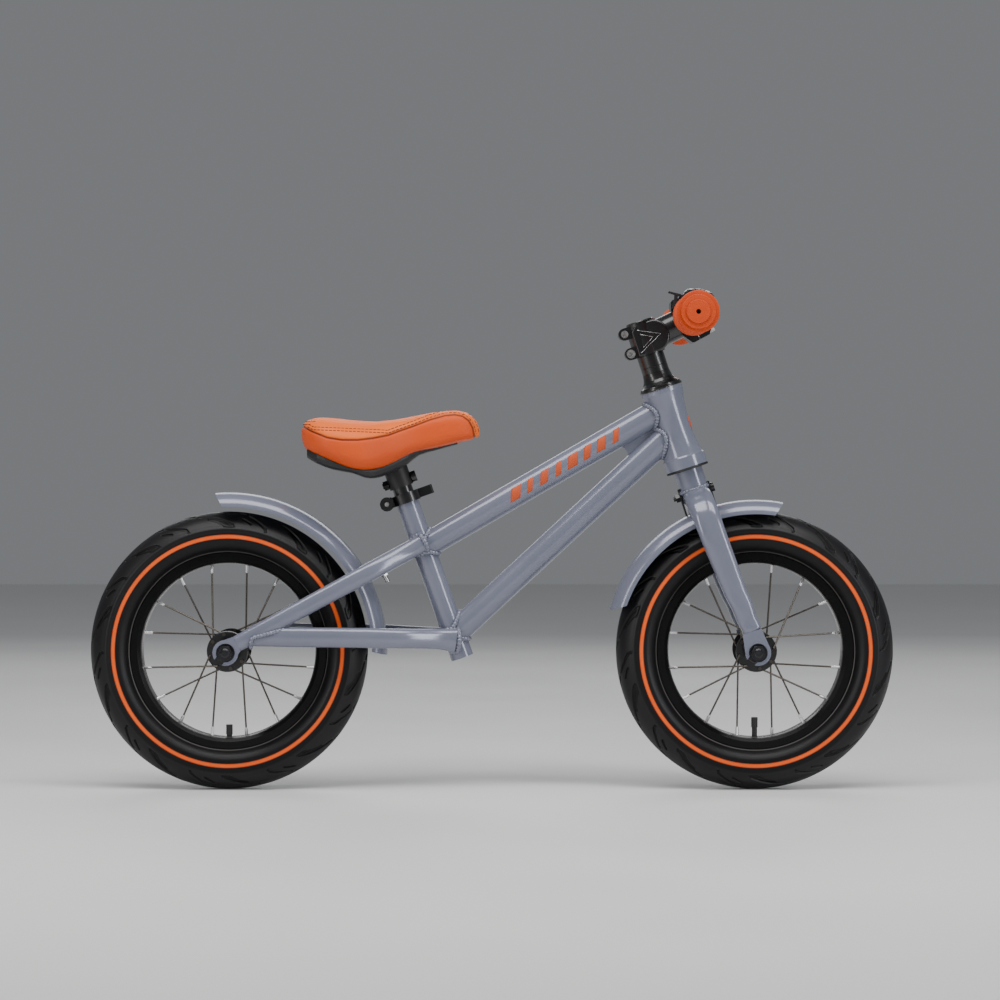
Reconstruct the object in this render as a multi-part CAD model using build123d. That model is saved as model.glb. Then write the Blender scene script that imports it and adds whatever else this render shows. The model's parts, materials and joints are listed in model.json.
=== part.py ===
from build123d import *
import os
os.makedirs("parts", exist_ok=True)
from math import atan2, copysign, cos, degrees, pi, radians, sin, sqrt

# Balance bike. Row frame: +X forward, +Y to the bike's left, +Z up, origin on the ground.

# --- driving dimensions, mm and degrees ---
wheelBase = 578.0
tyreRadius = 152.5  # 12 1/2 x 2 1/4 tyre
tyreHalfWidth = 25.7
rimFlangeRadius = 107.5
rimInnerRadius = 95.2
rimHalfWidth = 15.2
stripeRadius = 125.5
stripeWidth = 4.6
spokeCount = 16
spokeRadius = 1.0
hubFlangeRadius = 22.5
hubHoleRadius = 19.0
hubFlangeY = 28.0
axleRadius = 5.0
pilotRadius = 4.3  # bare ends of both axles, outside the nuts
lockFaceY = 50.0  # inner face of both dropouts
frontValveTip = 74.0
rearValveTip = 82.0

seatTilt = 19.5  # seat tube from vertical
seatTubeFoot = (-32.7, 144.3)
seatTubeLength = 190.0
seatTubeRadius = 12.7
postRadius = 11.1
postBoreRadius = 11.15
postBottom = 52.0  # along the seat tube from its foot
postTop = 218.0

headTilt = 18.1  # steering axis from vertical
headFoot = (214.8, 353.5)
headLength = 90.6
headEndRadius = 23.5
headWaistRadius = 18.4
steererRadius = 12.7
forkWall = 1.8

topTubeRear = (-75.6, 265.6)
topTubeFront = (193.0, 420.8)
topTubeRadius = 14.3
downTubeRear = (-41.8, 169.9)
downTubeFront = (201.2, 395.2)
downTubeRadius = 14.3
tubeWall = 1.6

stayFoot = (-289.0, 155.5)
stayRise = 28.4
barCentre = (52.0, 155.0)  # forward of and along the steering axis
barRadius = 11.1
barClampRadius = 15.9
barHalfWidth = 198.0
gripRadius = 15.5
gripFlangeRadius = 22.0

frontFender = dict(crown=166.0, half=28.0, angles=(165.0, 78.9), lips=(160.0, 82.3))
rearFender = dict(crown=174.0, half=29.0, angles=(95.3, -1.7), lips=(91.6, 0.0))
fenderSheet = 1.2

rearAxle = (-wheelBase / 2, tyreRadius)
frontAxle = (wheelBase / 2, tyreRadius)

low = (Align.CENTER, Align.CENTER, Align.MIN)
across = (0, 1, 0)


# --- helpers ---
def rod(start, end, radius, endRadius=None):
    a, b = Vector(*start), Vector(*end)
    span = b - a
    if endRadius is None:
        shape = Cylinder(radius, span.length, align=low)
    else:
        shape = Cone(radius, endRadius, span.length, align=low)
    return Plane(origin=a, z_dir=span) * shape


def turned(profile, origin=(0, 0, 0), axis=(0, 0, 1)):
    """Revolve (radius, height) points about an axis."""
    outline = make_face(Polyline(*[(r, 0, h) for r, h in profile], close=True))
    return Plane(origin=origin, z_dir=axis) * revolve(outline, Axis.Z)


def tubeBetween(start, end, outer, inner):
    a, b = Vector(*start), Vector(*end)
    unit = (b - a).normalized()
    return rod(a, b, outer) - rod(a - unit, b + unit, inner)


def slab(points, y0, y1):
    """Prism over (x, z) points, from y0 to y1."""
    face = make_face(Polyline(*[(x, y0, z) for x, z in points], close=True))
    return extrude(face, amount=y1 - y0, dir=(0, 1, 0))


def box(x0, x1, y0, y1, z0, z1):
    return Pos((x0 + x1) / 2, (y0 + y1) / 2, (z0 + z1) / 2) * Box(x1 - x0, y1 - y0, z1 - z0)


def polar(centre, radius, angle):
    return centre[0] + radius * cos(radians(angle)), centre[1] + radius * sin(radians(angle))


def at(point, y):
    return point[0], y, point[1]


def lean(origin, tilt):
    """Plane whose z leans back by tilt from vertical and whose x points forward."""
    t = radians(tilt)
    return Plane(origin=at(origin, 0), x_dir=(cos(t), 0, sin(t)), z_dir=(-sin(t), 0, cos(t)))


def limbSection(halfX, halfY, square):
    """Oval outline; square 2 is an ellipse, and more flattens its four sides."""
    turns = [2 * pi * k / 24 for k in range(24)]
    outline = [(halfX * copysign(abs(cos(a)) ** (2 / square), cos(a)),
                halfY * copysign(abs(sin(a)) ** (2 / square), sin(a))) for a in turns]
    return make_face(Spline(*outline, periodic=True))


def evenLoft(points, sizes, xDir, count, grow=0.0, ends=None, square=2.5):
    """Hollow-able limb: even sections along a spline through points, its half sizes blended between."""
    path = Spline(*points, tangents=ends) if ends else Spline(*points)
    marks = [path.param_at_point(Vector(*p)) for p in points]
    faces = []
    for k in range(count):
        u = k / (count - 1)
        i = max(j for j in range(len(marks) - 1) if marks[j] <= u + 1e-6 or j == 0)
        f = min(max((u - marks[i]) / (marks[i + 1] - marks[i]), 0.0), 1.0)
        halfX, halfY = [a + (b - a) * f for a, b in zip(sizes[i], sizes[i + 1])]
        place = Plane(origin=path @ u, x_dir=xDir, z_dir=path % u)
        faces.append(place * limbSection(halfX + grow, halfY + grow, square))
    return loft(faces)


def mirrored(shape):
    return mirror(shape, about=Plane.XZ)


def pair(shape):
    return Compound(children=solids(shape) + solids(mirrored(shape)))


def solids(shape):
    return [s for s in shape.solids()]


def save(name, shape):
    found = solids(shape)
    export_step(found[0] if len(found) == 1 else Compound(children=found), f"parts/{name}.step")
    print(name, len(found), "solid(s)", round(sum(s.volume for s in found) / 1000, 2), "cm3", flush=True)


seatPlane = lean(seatTubeFoot, seatTilt)
steerPlane = lean(headFoot, headTilt)


def seatRod(t0, t1, radius):
    return seatPlane * (Pos(0, 0, t0) * Cylinder(radius, t1 - t0, align=low))


# --- wheels ---
tyreOuter = [(103.0, 12.8), (107.6, 13.2), (110.0, 17.2), (114.0, 21.8), (119.0, 24.7), (125.5, 25.7),
             (131.5, 25.0), (137.5, 22.8), (143.5, 18.4), (148.6, 12.0), (151.5, 5.8), (152.5, 0.0)]
tyreInner = [(148.8, 0.0), (148.0, 5.0), (145.4, 10.6), (141.0, 16.0), (136.0, 19.8), (131.0, 21.7),
             (125.5, 22.4), (120.0, 21.5), (115.6, 18.8), (111.8, 14.4), (108.2, 9.9), (103.0, 9.4)]
rimProfile = [(95.2, 0.0), (95.2, 8.5), (96.6, 12.6), (100.0, 15.2), (107.5, 15.2), (107.5, 13.4),
              (102.6, 13.2), (101.6, 9.0), (99.4, 7.6), (98.2, 0.0)]
hubProfile = [(5.06, 37.0), (11.5, 37.0), (12.5, 36.0), (12.5, 29.6), (21.6, 29.6), (22.5, 28.8), (22.5, 27.2),
              (21.6, 26.4), (14.0, 26.4), (11.0, 22.0), (10.0, 8.0), (10.0, 0.0), (8.0, 0.0), (8.0, 28.0),
              (5.06, 28.0)]


def mirroredRing(half, closed=False):
    """Revolve a half profile (radius, y >= 0) and its mirror about the Y axis."""
    outline = make_face(Polyline(*[(r, y, 0) for r, y in half], close=True))
    solid = revolve(outline, Axis.Y)
    return solid + mirrored(solid)


def makeTyre():
    outer = Spline(*[(r, y, 0) for r, y in tyreOuter])
    inner = Spline(*[(r, y, 0) for r, y in tyreInner])
    outline = outer + inner + Line((152.5, 0, 0), (148.8, 0, 0)) + Line((103, 9.4, 0), (103, 12.8, 0))
    solid = revolve(make_face(outline), Axis.Y)
    return solid + mirrored(solid)


def makeStripe():
    a, b = stripeRadius - stripeWidth / 2, stripeRadius + stripeWidth / 2
    y0, y1 = tyreHalfWidth - 0.9, tyreHalfWidth + 0.15
    one = revolve(make_face(Polyline((a, y0, 0), (b, y0, 0), (b, y1, 0), (a, y1, 0), close=True)), Axis.Y)
    return pair(one)


def spokeEnds(i):
    """Hub end, elbow side and rim end of one spoke; angle 0 is forward, side alternates."""
    rimAngle = radians((i + 0.5) * 360.0 / spokeCount)
    side = 1 if i % 2 else -1
    sweep = -45.0 if (i // 2) % 2 else 45.0
    hubAngle = rimAngle + radians(sweep)
    inside = (i // 4) % 2
    y = side * (hubFlangeY + (-2.8 if inside else 4.6))
    hub = (hubHoleRadius * cos(hubAngle), y, hubHoleRadius * sin(hubAngle))
    rim = (98.5 * cos(rimAngle), side * 1.5, 98.5 * sin(rimAngle))
    return Vector(*hub), side, inside, Vector(*rim)


def makeSpokes():
    out = []
    for i in range(spokeCount):
        hub, side, inside, rim = spokeEnds(i)
        unit = (rim - hub).normalized()
        step = 5.6 if inside else -7.4
        far = hub + Vector(0, side * step, 0)
        head = far + Vector(0, side * (0.9 if inside else -0.9), 0)
        wire = rod(hub, rim - unit * 4.4, spokeRadius) + Pos(*hub) * Sphere(spokeRadius)
        wire += rod(hub, head, spokeRadius) + rod(far, head, 1.9)
        nipple = rod(rim - unit * 11.5, rim - unit * 3.0, 1.7) + rod(rim - unit * 3.0, rim, 2.2)
        out.append(wire + nipple)
    return Compound(children=[s for w in out for s in solids(w)])


def makeRim():
    rim = mirroredRing(rimProfile)
    for i in range(spokeCount):
        hub, side, inside, end = spokeEnds(i)
        unit = (end - hub).normalized()
        rim -= rod(end - unit * 8, end + unit * 3, 2.25)
    return rim - rod((0, 0, -90), (0, 0, -104), 3.0)


def makeHub():
    hub = mirroredRing(hubProfile)
    for i in range(spokeCount):
        end, side, inside, rim = spokeEnds(i)
        hub -= rod((end.X, side * 25.0, end.Z), (end.X, side * 31.0, end.Z), 1.15)
    return hub


def makeInnerTube(valveTip):
    ring = Plane.XY * (Pos(127.8, 0) * Circle(18.4) - Pos(127.8, 0) * Circle(17.2))
    torus = revolve(ring, Axis.Y)
    valve = rod((0, 0, -110), (0, 0, -(valveTip + 6)), 2.9) + rod((0, 0, -(valveTip + 11)), (0, 0, -valveTip), 3.6)
    return torus + valve


for end, centre, tip in (("front", frontAxle, frontValveTip), ("rear", rearAxle, rearValveTip)):
    place = Pos(centre[0], 0, centre[1])
    stripe = makeStripe()
    save(f"{end}_tyre", place * (makeTyre() - stripe))
    save(f"{end}_tyre_stripe", place * stripe)
    save(f"{end}_inner_tube", place * makeInnerTube(tip))
    save(f"{end}_rim", place * makeRim())
    save(f"{end}_spokes", place * makeSpokes())
    save(f"{end}_hub", place * makeHub())


# --- axles ---
def makeAxle(centre):
    half = turned([(0, 0), (axleRadius, 0), (axleRadius, 37.6), (7.0, 37.6), (9.0, 40.0), (9.0, lockFaceY),
                   (axleRadius, lockFaceY), (axleRadius, 63.4), (pilotRadius, 64.0), (pilotRadius, 66.7), (3.5, 67.5),
                   (0, 67.5)],
                  origin=at(centre, 0), axis=across)
    return half + mirrored(half)


def makeAxleNuts(centre):
    washer = rod(at(centre, 54.0), at(centre, 55.6), 9.8)
    hexagon = Plane(origin=at(centre, 55.6), x_dir=(1, 0, 0), z_dir=across) * RegularPolygon(8.66, 6)
    nut = extrude(hexagon, amount=7.6)
    nut &= turned([(0, 55.6), (8.66, 55.6), (8.66, 61.6), (7.4, 63.2), (0, 63.2)],
                  origin=at(centre, 0), axis=across)
    return pair(washer - rod(at(centre, 50), at(centre, 70), axleRadius)) , \
        pair(nut - rod(at(centre, 50), at(centre, 70), axleRadius))


for end, centre in (("front", frontAxle), ("rear", rearAxle)):
    save(f"{end}_axle", makeAxle(centre))
    washers, nuts = makeAxleNuts(centre)
    save(f"{end}_axle_nuts", Compound(children=solids(washers) + solids(nuts)))

# --- main frame tubes ---
headOuter = steerPlane * revolve(make_face(
    Line((0, 0, 0), (headEndRadius, 0, 0)) + Line((headEndRadius, 0, 0), (headEndRadius, 0, 12))
    + Line((headEndRadius, 0, 12), (22.3, 0, 13.6))
    + Spline((22.3, 0, 13.6), (19.6, 0, 26), (headWaistRadius, 0, 42), (18.8, 0, 58), (21.0, 0, 76), (23.2, 0, 86))
    + Line((23.2, 0, 86), (23.2, 0, headLength)) + Line((23.2, 0, headLength), (0, 0, headLength))
    + Line((0, 0, headLength), (0, 0, 0))), Axis.Z)
headTube = headOuter - steerPlane * (
    Pos(0, 0, -1) * Cylinder(15.4, headLength + 2, align=low)
    + Pos(0, 0, -1) * Cylinder(20.4, 9, align=low)
    + Pos(0, 0, headLength - 8) * Cylinder(20.4, 9, align=low))
seatOuter = seatRod(0, seatTubeLength, seatTubeRadius)
clampSlot = seatPlane * box(-14, -9, -1.2, 1.2, seatTubeLength - 34, seatTubeLength + 1)
seatTube = seatOuter - seatRod(-1, seatTubeLength + 1, postBoreRadius) - clampSlot
topRod = rod(at(topTubeRear, 0), at(topTubeFront, 0), topTubeRadius)
downRod = rod(at(downTubeRear, 0), at(downTubeFront, 0), downTubeRadius)
topTube = tubeBetween(at(topTubeRear, 0), at(topTubeFront, 0), topTubeRadius, topTubeRadius - tubeWall)
topTube = topTube - seatOuter - headOuter
downTube = tubeBetween(at(downTubeRear, 0), at(downTubeFront, 0), downTubeRadius, downTubeRadius - tubeWall)
downTube = downTube - seatOuter - headOuter - topRod
gusset = slab([(143, 345), (143, 388), (198, 422), (206, 392)], -2.6, 2.6)
gusset = gusset - rod((139.5, -5, 366.5), (139.5, 5, 366.5), 10.0) - topRod - downRod - headOuter


def biggest(shape):
    return max(solids(shape), key=lambda s: s.volume)


save("head_tube", headTube)
save("seat_tube", seatTube)
save("top_tube", biggest(topTube))
save("down_tube", biggest(downTube))
save("frame_gusset", biggest(gusset))

# headset bearings: cartridge rings pressed in the cups
bearing = turned([(12.75, 1.0), (20.4, 1.0), (20.4, 8.0), (12.75, 8.0)]) \
    + turned([(12.75, headLength - 8), (20.4, headLength - 8), (20.4, headLength - 1), (12.75, headLength - 1)])
save("headset_bearings", steerPlane * bearing)

# --- rear triangle ---
stayDir = (cos(radians(stayRise)), sin(radians(stayRise)))
stayUp = (-stayDir[1], 0, stayDir[0])


def seatStayPoint(u, y):
    return stayFoot[0] + u * stayDir[0], y, stayFoot[1] + u * stayDir[1]


seatStayPath = [(14, 51.0, 8.8, 6.8), (50, 50.0, 9.2, 7.2), (100, 47.0, 9.7, 7.8), (145, 43.8, 10.0, 8.4),
                (170, 41.2, 10.1, 8.8), (190, 34.0, 10.2, 9.0), (207, 24.6, 10.2, 9.0), (224, 16.5, 10.2, 9.0),
                (242, 11.5, 10.2, 9.0)]
chainStayPath = [(-264, 50.4, 169.6, 10.2, 7.2), (-225, 49.4, 169.2, 10.8, 7.6), (-175, 47.0, 168.6, 11.0, 8.0),
                 (-135, 44.2, 168.0, 11.0, 8.3), (-112, 41.2, 167.4, 11.0, 8.5), (-93, 34.4, 166.8, 11.0, 8.8),
                 (-75, 25.4, 166.2, 11.0, 9.0), (-58, 17.4, 165.4, 11.6, 9.0), (-40, 12.4, 163.6, 13.4, 9.0)]


def makeSeatStay(shrink=0.0):
    points = [seatStayPoint(u, y) for u, y, h, w in seatStayPath]
    return evenLoft(points, [(h, w) for u, y, h, w in seatStayPath], stayUp, 15, shrink)


def makeChainStay(shrink=0.0):
    points = [(x, y, z) for x, y, z, h, w in chainStayPath]
    return evenLoft(points, [(h, w) for x, y, z, h, w in chainStayPath], (0, 0, 1), 15, shrink)


seatStaySolid = makeSeatStay()
chainStaySolid = makeChainStay()
middle = box(-400, 0, -60, 0.6, 0, 400)  # keeps each stay on its own side of the mid plane
seatStay = biggest(seatStaySolid - makeSeatStay(-1.5) - seatOuter - topRod - middle)
chainStay = biggest(chainStaySolid - makeChainStay(-1.5) - seatOuter - seatStaySolid - downRod - middle)
save("seat_stay_left", seatStay)
save("seat_stay_right", mirrored(seatStay))
save("chain_stay_left", chainStay)
save("chain_stay_right", mirrored(chainStay))

bridgeCentre = (-124.0, 245.0)
bridge = rod(at(bridgeCentre, -38), at(bridgeCentre, 38), 6.5)
boltDir = Vector(sin(radians(stayRise)), 0, -cos(radians(stayRise)))
bridgeMid = Vector(*at(bridgeCentre, 0))
bridge = bridge - seatStaySolid - mirrored(seatStaySolid) - rod(bridgeMid - boltDir * 9, bridgeMid + boltDir * 9, 2.6)
save("seat_stay_bridge", biggest(bridge))


def makeDropout(centre, plate, recess=54.0):
    """Hooded plate round an axle, its slot mouth down and rearward."""
    outer = rod(at(centre, lockFaceY), at(centre, 57.6), 14.0) + slab(plate, lockFaceY, 57.6)
    outer -= rod(at(centre, recess), at(centre, 60), 10.2)
    mouth = Plane(origin=at(centre, 54), x_dir=(-cos(radians(53)), 0, -sin(radians(53))), z_dir=across)
    outer -= mouth * (Pos(10, 0, 0) * Box(20, 10.2, 12)) + rod(at(centre, 45), at(centre, 60), 5.1)
    return outer


u14 = (seatStayPoint(14, 0)[0], seatStayPoint(14, 0)[2])
up = (stayUp[0], stayUp[2])
rearPlate = [(u14[0] + 8.8 * up[0], u14[1] + 8.8 * up[1]), (u14[0] - 8.8 * up[0], u14[1] - 8.8 * up[1]),
             (rearAxle[0] - 14 * up[0] - 3 * stayDir[0], rearAxle[1] - 14 * up[1] - 3 * stayDir[1]),
             (rearAxle[0] + 14 * up[0] - 3 * stayDir[0], rearAxle[1] + 14 * up[1] - 3 * stayDir[1])]
rearDropout = makeDropout(rearAxle, rearPlate) - seatStaySolid
save("rear_dropouts", pair(biggest(rearDropout)))


# --- fenders ---
def fenderBlade(centre, spec):
    crown, half = spec["crown"], spec["half"]
    skin = [(0, 0), (8, -0.4), (15, -1.8), (21, -4.6), (25, -8.6), (27.4, -12.6), (28.0, -16.0)]
    scale = half / 28.0
    outer = [(y * scale, crown + drop) for y, drop in skin]
    inner = [(y * scale * (1 - fenderSheet / 28.0), crown - fenderSheet + drop * 0.985) for y, drop in skin]
    inner[-1] = (inner[-1][0], outer[-1][1])
    a0, a1 = spec["angles"]
    section = Spline(*[(r, y, 0) for y, r in outer]) + Spline(*[(r, y, 0) for y, r in inner])
    section += Line((outer[0][1], 0, 0), (inner[0][1], 0, 0))
    section += Line((outer[-1][1], outer[-1][0], 0), (inner[-1][1], inner[-1][0], 0))
    half = revolve(make_face(section), Axis.Y, revolution_arc=a0 - a1)
    blade = half + mirrored(half)
    blade = Pos(*at(centre, 0)) * (Rot(0, -a0, 0) * blade)
    for crownAngle, lipAngle, sign in ((a0, spec["lips"][0], 1), (a1, spec["lips"][1], -1)):
        wedge = [polar(centre, crown - 18, lipAngle), polar(centre, crown + 2, crownAngle),
                 polar(centre, crown + 30, crownAngle + sign * 12), polar(centre, crown - 50, lipAngle + sign * 12)]
        blade -= slab(wedge, -60, 60)
    return blade


rearBlade = fenderBlade(rearAxle, rearFender)
frontBlade = fenderBlade(frontAxle, frontFender)
save("rear_fender", biggest(rearBlade))
save("front_fender", biggest(frontBlade))

# rear bracket: flat strap under the bridge, bent to lie on the fender crown, with its bolt and nut
stay = Vector(stayDir[0], 0, stayDir[1])
seatFace = bridgeMid + boltDir * 6.5
strapPlane = Plane(origin=seatFace, x_dir=-stay, z_dir=boltDir)
strap = strapPlane * box(-6, 18, -7, 7, 0, 2.0)
strap -= rod(seatFace - boltDir, seatFace + boltDir * 4, 2.6)
foot = rod(at(rearAxle, -7), at(rearAxle, 7), rearFender["crown"] + 1.8) \
    - rod(at(rearAxle, -8), at(rearAxle, 8), rearFender["crown"] + 0.02)
foot &= strapPlane * box(8, 30, -7, 7, -16, 2.0)
strap = strap - rod(at(rearAxle, -40), at(rearAxle, 40), rearFender["crown"] + 0.02)
rearBolt = rod(bridgeMid - boltDir * 6.4, bridgeMid + boltDir * 20, 2.5) \
    + rod(bridgeMid - boltDir * 10, bridgeMid - boltDir * 6.4, 4.6)
nutPlane = Plane(origin=bridgeMid + boltDir * 8.5, x_dir=across, z_dir=boltDir)
rearNut = extrude(nutPlane * RegularPolygon(4.6, 6), amount=4) - rod(bridgeMid, bridgeMid + boltDir * 20, 2.5)
bracket = strap + foot
save("rear_fender_bracket", Compound(children=[biggest(bracket)] + solids(rearBolt) + solids(rearNut)))

# --- seat clamp, skewer, lever, nut ---
collarLow, collarHigh = 180.6, 191.6
skewerT, skewerN = 186.5, -21.3
collar = turned([(seatTubeRadius, collarLow), (15.6, collarLow), (15.6, collarHigh), (11.9, collarHigh),
                 (11.9, seatTubeLength), (seatTubeRadius, seatTubeLength)])
collar += box(-27.4, -13.2, -8.0, 8.0, collarLow, collarHigh) - Cylinder(14.0, 500)
collar -= box(-40, -11, -1.2, 1.2, collarLow - 1, collarHigh + 1)
collar -= rod((skewerN, -20, skewerT), (skewerN, 20, skewerT), 2.5)
save("seat_collar", seatPlane * collar)

pivotY = 14.6
skewer = rod((skewerN, -22, skewerT), (skewerN, pivotY, skewerT), 2.4)
skewer += rod((skewerN, pivotY, skewerT - 6.4), (skewerN, pivotY, skewerT + 6.4), 2.0)
save("qr_skewer", seatPlane * skewer)

lever = rod((skewerN, pivotY, skewerT - 6), (skewerN, pivotY, skewerT + 6), 6.2)
arm = make_face(Polyline(*[(skewerN + l, y, skewerT - 5) for l, y in (
    (0, 20.8), (10, 20.6), (30, 20.2), (50, 19.6), (52.6, 18.6), (50.5, 17.0), (30, 17.0), (15, 17.2), (8, 16.0),
    (5.5, 12.5), (3.4, 12.5))], close=True))
lever += extrude(arm, amount=10, dir=(0, 0, 1))
lever -= box(skewerN - 8, skewerN + 2.8, pivotY - 8, pivotY + 8, skewerT - 2.8, skewerT + 2.8)
lever -= rod((skewerN, pivotY, skewerT - 8), (skewerN, pivotY, skewerT + 8), 2.05)
save("qr_lever", seatPlane * lever)

nut = rod((skewerN, -17.0, skewerT), (skewerN, -8.3, skewerT), 7.7)
for k in range(8):
    a = 2 * pi * k / 8
    x, z = skewerN + 8.6 * cos(a), skewerT + 8.6 * sin(a)
    nut -= rod((x, -18, z), (x, -10.4, z), 1.9)
nut -= rod((skewerN, -20, skewerT), (skewerN, -5, skewerT), 2.45)
save("qr_nut", seatPlane * nut)

# --- seat post and saddle ---
boltT = 206.1
post = seatRod(postBottom, postTop, postRadius) - seatRod(postBottom - 1, postTop - 3, postRadius - 1.8)
post -= seatPlane * rod((-20, 0, boltT), (20, 0, boltT), 3.1)
save("seat_post", post)

# station: x, half width, bottom, top, squareness of the section
saddleStations = [
    (-209.2, 10, 384, 396), (-206.5, 30, 377.5, 401.6), (-200.3, 47, 371.5, 406.3), (-190, 58.5, 366.4, 408.6),
    (-175, 65.5, 359.8, 407.4), (-160, 67.5, 353.6, 405.0), (-146, 66.5, 350.2, 403.6), (-132, 61.5, 350.4, 403.2),
    (-117.7, 52.5, 354.4, 403.7), (-103, 43.5, 361.6, 405.4), (-88, 36.5, 369.2, 408.2), (-70, 32.0, 374.4, 412.4),
    (-52, 29.5, 378.4, 415.0), (-38.4, 27.0, 381.6, 415.9), (-28, 23.0, 384.0, 413.6), (-20, 16.5, 385.8, 408.0),
    (-15.2, 9.0, 387.0, 400.0), (-13.4, 4.0, 388.4, 394.6)]


def smoothRows(rows, parts):
    """The same stations with parts - 1 more, on smooth curves, between each pair."""
    ends = [rows[0]] + rows + [rows[-1]]
    out = []
    for a, b, c, d in zip(ends, ends[1:], ends[2:], ends[3:]):
        for k in range(parts):
            f = k / parts
            out.append(tuple(0.5 * (2 * q + (r - p) * f + (2 * p - 5 * q + 4 * r - u) * f ** 2
                                    + (3 * q - p - 3 * r + u) * f ** 3) for p, q, r, u in zip(a, b, c, d)))
    return out + [rows[-1]]


def saddleSection(x, half, bottom, top, inset):
    lift = top - bottom
    corner = [(0.0, 0.0), (0.6, 0.0), (0.88, 0.035), (0.975, 0.16), (1.0, 0.42), (0.94, 0.72), (0.76, 0.9),
              (0.42, 0.985), (0.0, 1.0)]
    right = [(a * (half - inset), bottom + b * (lift - inset)) for a, b in corner]
    left = [(-y, z) for y, z in reversed(right[1:-1])]
    return make_face(Spline(*[(x, y, z) for y, z in right + left], periodic=True))


def saddleLoft(inset=0.0, sink=0.0):
    rows = saddleStations
    faces = []
    first, last = rows[0][0], rows[-1][0]
    for x, half, bottom, top in rows:
        if half - inset < 1.5:
            continue
        share = (x - first) / (last - first)
        faces.append(saddleSection(x + inset * (1 - 2 * share), half, bottom - sink, top, inset))
    return loft(faces)


saddleOuter = saddleLoft()
saddleInner = saddleLoft(2.4, 6.0)
foam = saddleInner & saddleOuter
cover = saddleOuter - saddleInner
shellStations = [(-201.5, 40, 364.0, 376), (-190, 52, 357.5, 372), (-172, 58, 351.0, 366), (-152, 59, 347.4, 360),
                 (-138, 54, 342.2, 358), (-128, 48, 341.6, 360), (-117, 40, 345.0, 364), (-104, 31, 351.0, 370),
                 (-92, 24, 357.6, 376), (-80, 20, 366.8, 382), (-60, 18, 372.6, 386), (-38, 14, 378.6, 388)]
shellFaces = []
for x, half, bottom, top in smoothRows(shellStations, 2):
    rim = [(half, top), (half, bottom + 7), (half - 1.4, bottom + 3), (half - 4.4, bottom + 0.8), (half - 10, bottom)]
    loop = rim + [(-y, z) for y, z in reversed(rim)]
    shellFaces.append(make_face(Polyline(*[(x, y, z) for y, z in loop], close=True)))
shell = loft(shellFaces, ruled=True) - saddleOuter
socket = seatRod(199.0, 232.0, 13.35) - saddleOuter
shell = shell - seatRod(190, 232, 13.35)
shell = biggest(shell) + socket
shell = shell - seatRod(190, postTop, postRadius)
shell -= seatPlane * rod((-30, 0, boltT), (30, 0, boltT), 3.1)
save("saddle_shell", biggest(shell))
save("saddle_foam", biggest(foam))
save("saddle_cover", biggest(cover))

crossBolt = rod((-19.6, 0, boltT), (13.6, 0, boltT), 3.05) + rod((13.4, 0, boltT), (19.0, 0, boltT), 6.0)
crossNutFace = Plane(origin=(-18.4, 0, boltT), x_dir=across, z_dir=(1, 0, 0)) * RegularPolygon(5.8, 6)
crossNut = extrude(crossNutFace, amount=5.0)
save("saddle_bolt", seatPlane * (crossBolt + crossNut))

# --- fork ---
steerer = Pos(0, 0, -32) * (Cylinder(steererRadius, 32 + 165.5, align=low))
steerer -= Pos(0, 0, -33) * Cylinder(steererRadius - 2.0, 300, align=low)
crownBoltS = -29.0
steerer -= rod((-20, 0, crownBoltS), (20, 0, crownBoltS), 3.05)
save("steerer_tube", steerPlane * steerer)
save("headset_seal", steerPlane * turned([(steererRadius, -2.6), (23.4, -2.6), (23.8, -1.6), (23.4, -0.4),
                                          (17.5, -0.4), (17.5, 0.7), (steererRadius, 0.7)]))

crownHalf = 16.0  # the crown piece ends here and the legs begin
archPath = [(0, -33.0, 15.6, 10.4), (12, -34.6, 15.6, 10.4), (24, -39.0, 15.4, 10.3), (34, -47.0, 15.2, 10.2),
            (41, -58.5, 15.0, 10.0), (44.5, -72.0, 14.8, 9.8)]
legPath = [(46.0, -110.0, 3.6, 13.8, 9.2), (47.6, -150.0, 6.2, 12.2, 8.6),
           (49.6, -190.0, 9.0, 10.5, 7.8)]


def makeForkArm(grow=0.0):
    """One bent fork blade from the mid plane down to its dropout."""
    points = [(0.4 + 0.26 * i, y, s) for i, (y, s, a, b) in enumerate(archPath)]
    points += [(n, y, s) for y, s, n, a, b in legPath]
    sizes = [(a, b) for y, s, a, b in archPath] + [(a, b) for y, s, n, a, b in legPath]
    return evenLoft(points, sizes, (1, 0, 0), 19, grow, ends=[(0, 1, 0), (0.04, 0.02, -1)], square=2.8)


armSolid = makeForkArm()
arm = armSolid - makeForkArm(-forkWall)
stub = Pos(0, 0, -37) * Cylinder(15.9, 34.4, align=low)
crown = (arm + mirrored(arm)) & box(-60, 60, -crownHalf, crownHalf, -260, 20)
crown = crown + stub - Pos(0, 0, -32) * Cylinder(steererRadius, 60, align=low)
crown -= rod((-30, 0, crownBoltS), (30, 0, crownBoltS), 3.05)
save("fork_crown", steerPlane * biggest(crown))
leg = biggest(arm & box(-60, 60, crownHalf, 90, -260, 20))
save("fork_leg_left", steerPlane * leg)
save("fork_leg_right", steerPlane * mirrored(leg))

fa = Vector(frontAxle[0] - headFoot[0], 0, frontAxle[1] - headFoot[1])
t = radians(headTilt)
axleN, axleS = fa.X * cos(t) + fa.Z * sin(t), -fa.X * sin(t) + fa.Z * cos(t)


def steerXZ(n, s):
    return headFoot[0] + n * cos(t) - s * sin(t), headFoot[1] + n * sin(t) + s * cos(t)


frontPlate = [steerXZ(-1.5, -190), steerXZ(19.5, -190), steerXZ(axleN + 14, axleS + 1), steerXZ(axleN - 14, axleS + 1)]
frontDropout = makeDropout(frontAxle, frontPlate) - steerPlane * armSolid
save("front_dropouts", pair(biggest(frontDropout)))

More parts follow.
